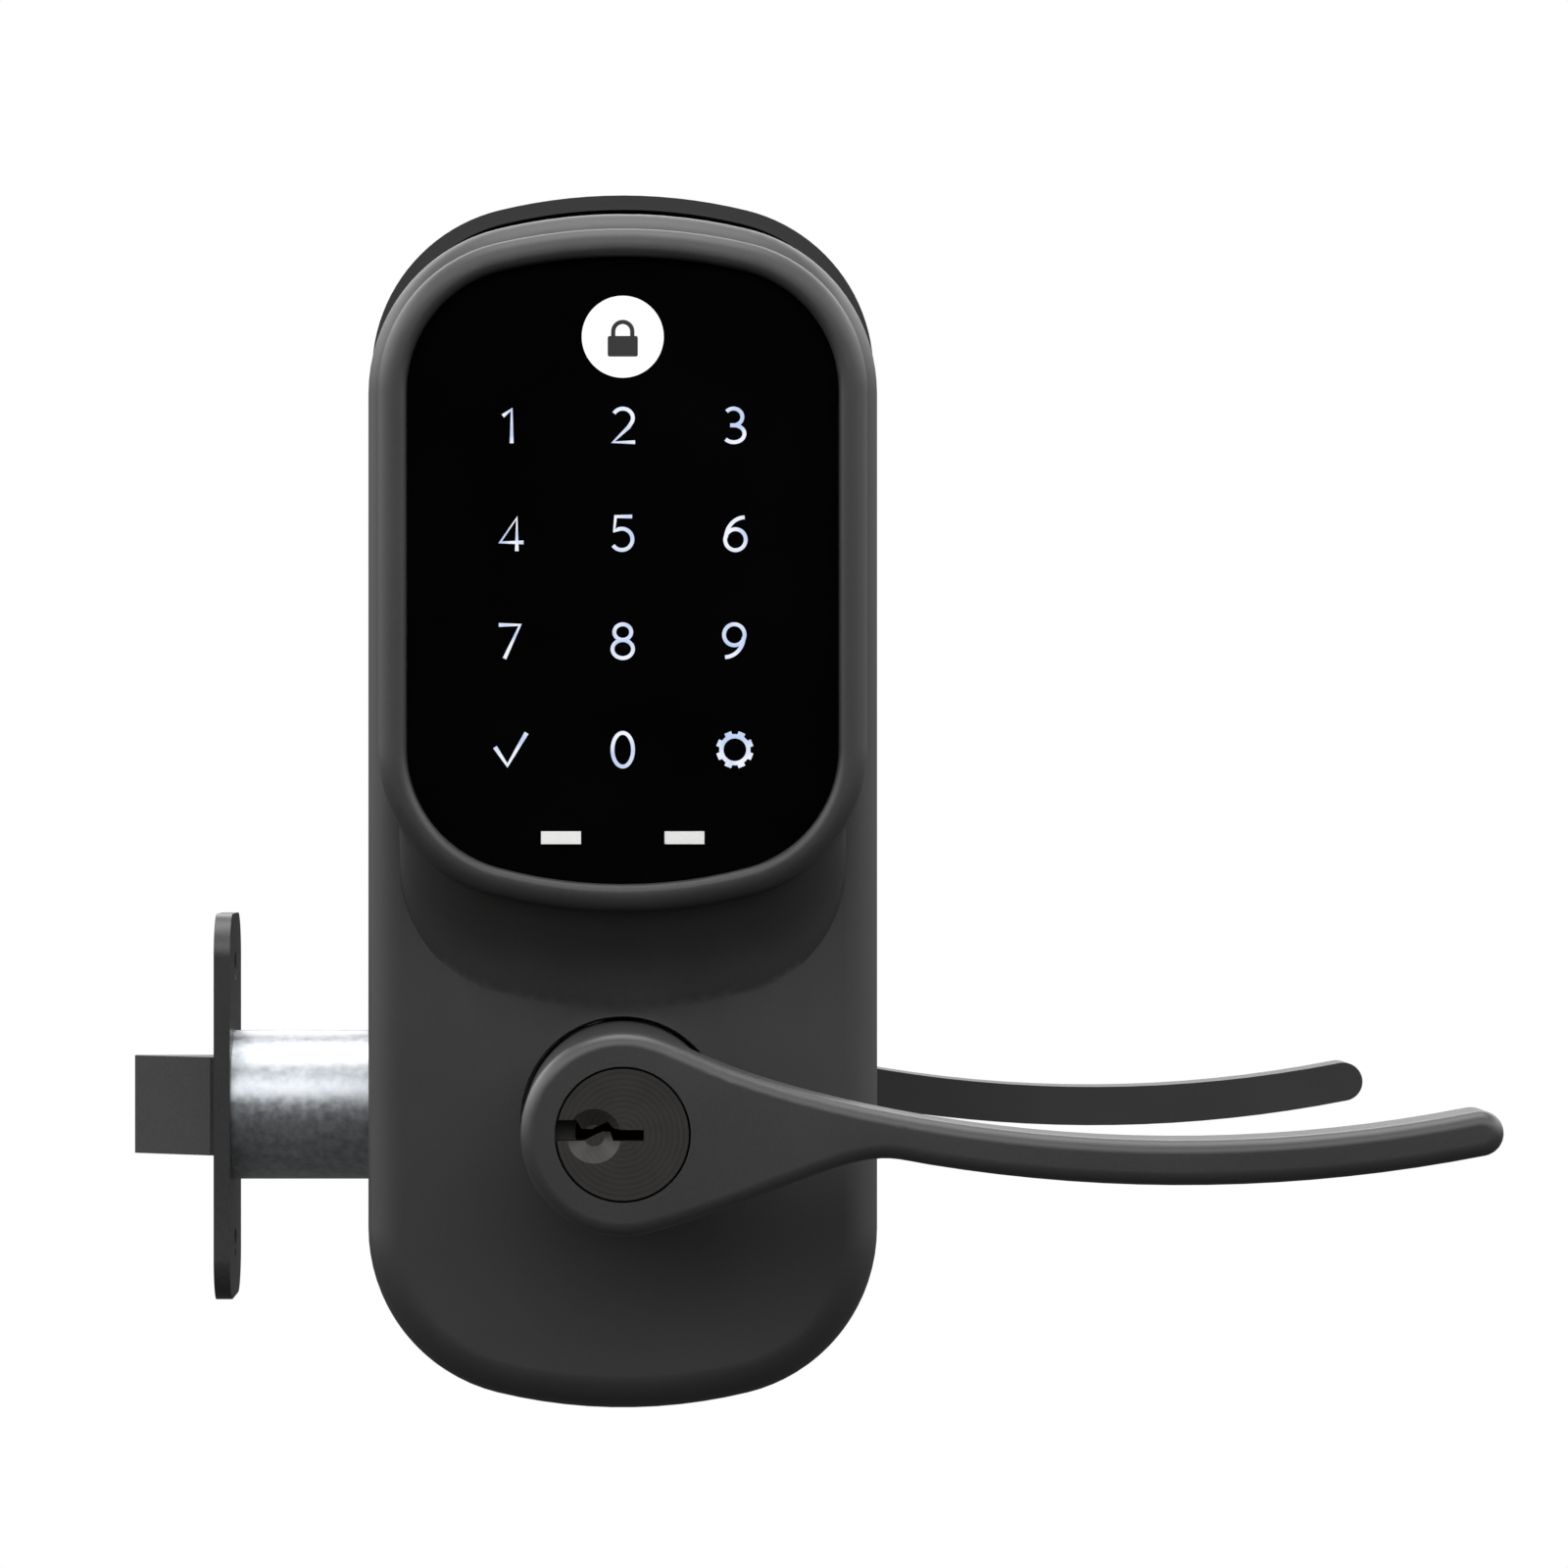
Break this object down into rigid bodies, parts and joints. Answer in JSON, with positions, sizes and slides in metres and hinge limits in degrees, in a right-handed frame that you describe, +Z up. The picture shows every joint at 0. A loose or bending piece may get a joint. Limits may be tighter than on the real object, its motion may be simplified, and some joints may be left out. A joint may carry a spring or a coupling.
{
  "type": "keypad smart lock",
  "caption": "Touch-keypad lever lock set for a door: keypad and keyed lever outside, spring latch through the door, battery-powered inside half with lever and turn button.",
  "frame": {"origin": "on the spindle axis at the door's outside face", "axes": "+Y through the door from outside to inside, +Z up, +X from the spindle towards the door's hinges; the latch points to -X"},
  "size_m": [0.1926, 0.1659, 0.1804],
  "materials": {
    "black_casting": "satin black powder coat on die-cast zinc",
    "black_lever": "satin black powder coat on die-cast zinc",
    "black_abs": "fine moulded texture",
    "touch_glass": "back-painted black glass, polished",
    "legend_light": "lit translucent print",
    "white_plastic": "moulded white, satin",
    "nickel": "bright nickel plate",
    "black_nickel": "dark plated brass, turned face",
    "zinc_steel": "zinc-plated pressed steel",
    "spring_steel": "drawn wire, oiled",
    "black_steel": "black e-coated steel",
    "brass": "turned brass",
    "bronze": "sintered bronze",
    "seal_foam": "closed-cell foam",
    "clear_plastic": "milky moulded light guide",
    "green_board": "solder-masked circuit board",
    "grey_abs": "moulded",
    "cell_wrap": "printed plastic wrap on a steel can",
    "cable_jacket": "flexible sleeve",
    "connector_white": "natural nylon"
  },
  "bodies": {
    "door_set": {"outer_escutcheon": "black_casting", "outer_seal": "seal_foam", "touchscreen_glass": "touch_glass", "backup_terminals": "nickel", "light_guide": "clear_plastic", "keypad_board": "green_board", "buzzer": "grey_abs", "keypad_backplate": "grey_abs", "keypad_screws": "zinc_steel", "outer_chassis": "zinc_steel", "chassis_screws": "zinc_steel", "outer_bush": "bronze", "outer_return_spring": "spring_steel", "clutch_motor": "zinc_steel", "motor_clamp": "grey_abs", "latch_faceplate": "black_steel", "latch_case": "zinc_steel", "latch_spring": "spring_steel", "through_bolts": "zinc_steel", "harness_lead": "cable_jacket", "harness_plugs": "connector_white", "mounting_plate": "zinc_steel", "inner_bush": "bronze", "inner_return_spring": "spring_steel", "inner_escutcheon": "black_casting", "housing_screws": "zinc_steel", "control_board": "green_board", "board_screws": "zinc_steel", "radio_module": "zinc_steel", "reset_switch": "grey_abs", "battery_tray": "grey_abs", "batteries": "cell_wrap", "battery_contacts": "nickel", "cell_springs": "nickel", "notch_bar": "white_plastic"},
    "inner_lever": {"inner_lever": "black_lever", "inner_hub": "zinc_steel", "inner_retaining_ring": "spring_steel", "spindle": "zinc_steel", "latch_hub": "zinc_steel"},
    "outer_lever": {"outer_lever": "black_lever", "outer_hub": "zinc_steel", "outer_retaining_ring": "spring_steel", "cylinder_body": "black_nickel", "cylinder_pins": "brass"},
    "key_plug": {"cylinder_plug": "black_nickel", "cylinder_tailpiece": "zinc_steel"},
    "turn_button": {"turn_button": "black_lever", "button_shaft": "zinc_steel"},
    "latch_bolt": {"latch_bolt": "black_steel"},
    "deadlatch_plunger": {"deadlatch_plunger": "black_steel"},
    "drive_screw": {"drive_screw": "brass"},
    "lock_slide": {"lock_slide": "zinc_steel"},
    "battery_cover": {"battery_cover": "black_abs", "cover_screw": "black_steel"},
    "reset_button": {"reset_button": "white_plastic"}
  },
  "joints": [
    {"name": "inner_lever_turn", "type": "hinge", "parent": "door_set", "child": "inner_lever", "pos_m": [0, 0, 0], "axis": [0, 1, 0], "range_deg": [0, 55], "stiffness_Nm_per_rad": 0.4, "springref_deg": -22.92},
    {"name": "outer_lever_turn", "type": "hinge", "parent": "door_set", "child": "outer_lever", "pos_m": [0, 0, 0], "axis": [0, 1, 0], "range_deg": [0, 55], "stiffness_Nm_per_rad": 0.4, "springref_deg": -22.92},
    {"name": "key_turn", "type": "hinge", "parent": "outer_lever", "child": "key_plug", "pos_m": [0, 0, 0], "axis": [0, 1, 0], "range_deg": [-90, 90]},
    {"name": "turn_button_turn", "type": "hinge", "parent": "inner_lever", "child": "turn_button", "pos_m": [0, 0, 0], "axis": [0, 1, 0], "range_deg": [0, 90]},
    {"name": "latch_throw", "type": "slide", "parent": "door_set", "child": "latch_bolt", "axis": [1, 0, 0], "range_m": [0, 0.0127], "deforming": ["latch_spring"]},
    {"name": "deadlatch_press", "type": "slide", "parent": "latch_bolt", "child": "deadlatch_plunger", "axis": [1, 0, 0], "range_m": [0, 0.01], "stiffness_N_per_m": 80, "springref_m": -0.004},
    {"name": "drive_screw_turn", "type": "hinge", "parent": "door_set", "child": "drive_screw", "pos_m": [0, -0.0104, 0.03], "axis": [0, 0, 1], "range_deg": [-1188, 0]},
    {"name": "lock_slide_travel", "type": "slide", "parent": "door_set", "child": "lock_slide", "axis": [0, 0, 1], "range_m": [-0.0033, 0]},
    {"name": "cover_lift", "type": "slide", "parent": "door_set", "child": "battery_cover", "axis": [0, 0, 1], "range_m": [0, 0.1]},
    {"name": "reset_press", "type": "slide", "parent": "door_set", "child": "reset_button", "axis": [0, -1, 0], "range_m": [0, 0.0008], "stiffness_N_per_m": 500, "springref_m": -0.001}
  ],
  "couplings": [
    {"joint": "outer_lever_turn", "follows": "inner_lever_turn", "ratio": 1},
    {"joint": "latch_throw", "follows": "inner_lever_turn", "m_per_rad": 0.01323},
    {"joint": "drive_screw_turn", "follows": "lock_slide_travel", "rad_per_m": 6283.2}
  ]
}
